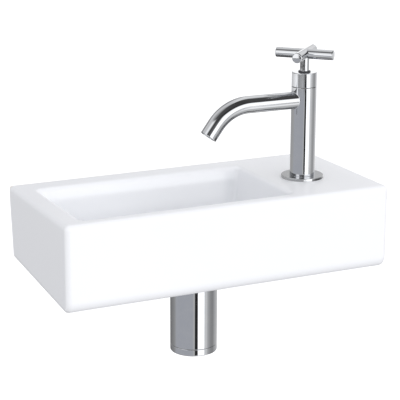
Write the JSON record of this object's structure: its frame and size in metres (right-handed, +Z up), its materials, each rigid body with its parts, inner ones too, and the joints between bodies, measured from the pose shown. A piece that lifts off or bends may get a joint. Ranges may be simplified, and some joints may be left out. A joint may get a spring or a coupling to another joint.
{
  "type": "hand basin",
  "caption": "Small wall-hung hand basin of glazed ceramic with a flat tap deck beside the bowl, a cross-handle pillar tap, an open waste and a bottle trap.",
  "frame": {"origin": "middle of the two wall-bolt holes, on the back face that lies against the wall", "axes": "+X to the right seen from the front (bowl left, tap right), +Y into the wall, +Z up"},
  "size_m": [0.385, 0.177, 0.3386],
  "materials": {
    "glaze": "gloss white glaze",
    "chrome": "polished",
    "brass": "machined",
    "steel": "plain",
    "rubber": "matt",
    "disc": "lapped",
    "white_plastic": "moulded",
    "dark_plastic": "moulded"
  },
  "bodies": {
    "basin_set": {"basin": "glaze", "tap_flange": "chrome", "tap_flange_seal": "rubber", "tap_body": "chrome", "tap_tail": "brass", "tap_centring_bush": "white_plastic", "tap_rubber_washer": "rubber", "tap_steel_washer": "steel", "tap_backnut": "brass", "spout_tube": "chrome", "aerator_housing": "chrome", "aerator_insert": "white_plastic", "aerator_screen": "steel", "aerator_seal": "rubber", "headwork_body": "brass", "seat_seal": "rubber", "fixed_disc": "disc", "bonnet": "chrome", "stem_ring": "dark_plastic", "waste_body": "chrome", "waste_strainer": "chrome", "waste_screw": "chrome", "waste_top_seal": "rubber", "waste_bottom_seal": "rubber", "waste_slip_washer": "white_plastic", "waste_lock_nut": "brass", "trap_inlet_nut": "chrome", "trap_inlet_seal": "rubber", "trap_dip_tube": "white_plastic", "trap_body": "chrome", "trap_outlet_nut": "chrome", "trap_outlet_seal": "rubber", "trap_outlet_slip_ring": "white_plastic"},
    "handle": {"handle_stem": "chrome", "handle_bar": "chrome", "handle_arm_front": "chrome", "handle_arm_rear": "chrome", "handle_grub_screw": "steel", "spindle": "brass", "spindle_o_rings": "rubber", "spindle_circlip": "steel", "moving_disc": "disc"},
    "trap_cup": {"trap_cap": "chrome", "trap_cap_o_ring": "rubber"}
  },
  "joints": [
    {"name": "handle_turn", "type": "hinge", "parent": "basin_set", "child": "handle", "pos_m": [0.1235, -0.101, 0.202], "axis": [0, 0, 1], "range_deg": [0, 90]},
    {"name": "trap_cap_removal", "type": "slide", "parent": "basin_set", "child": "trap_cup", "axis": [0, 0, -1], "range_m": [0, 0.04]}
  ]
}
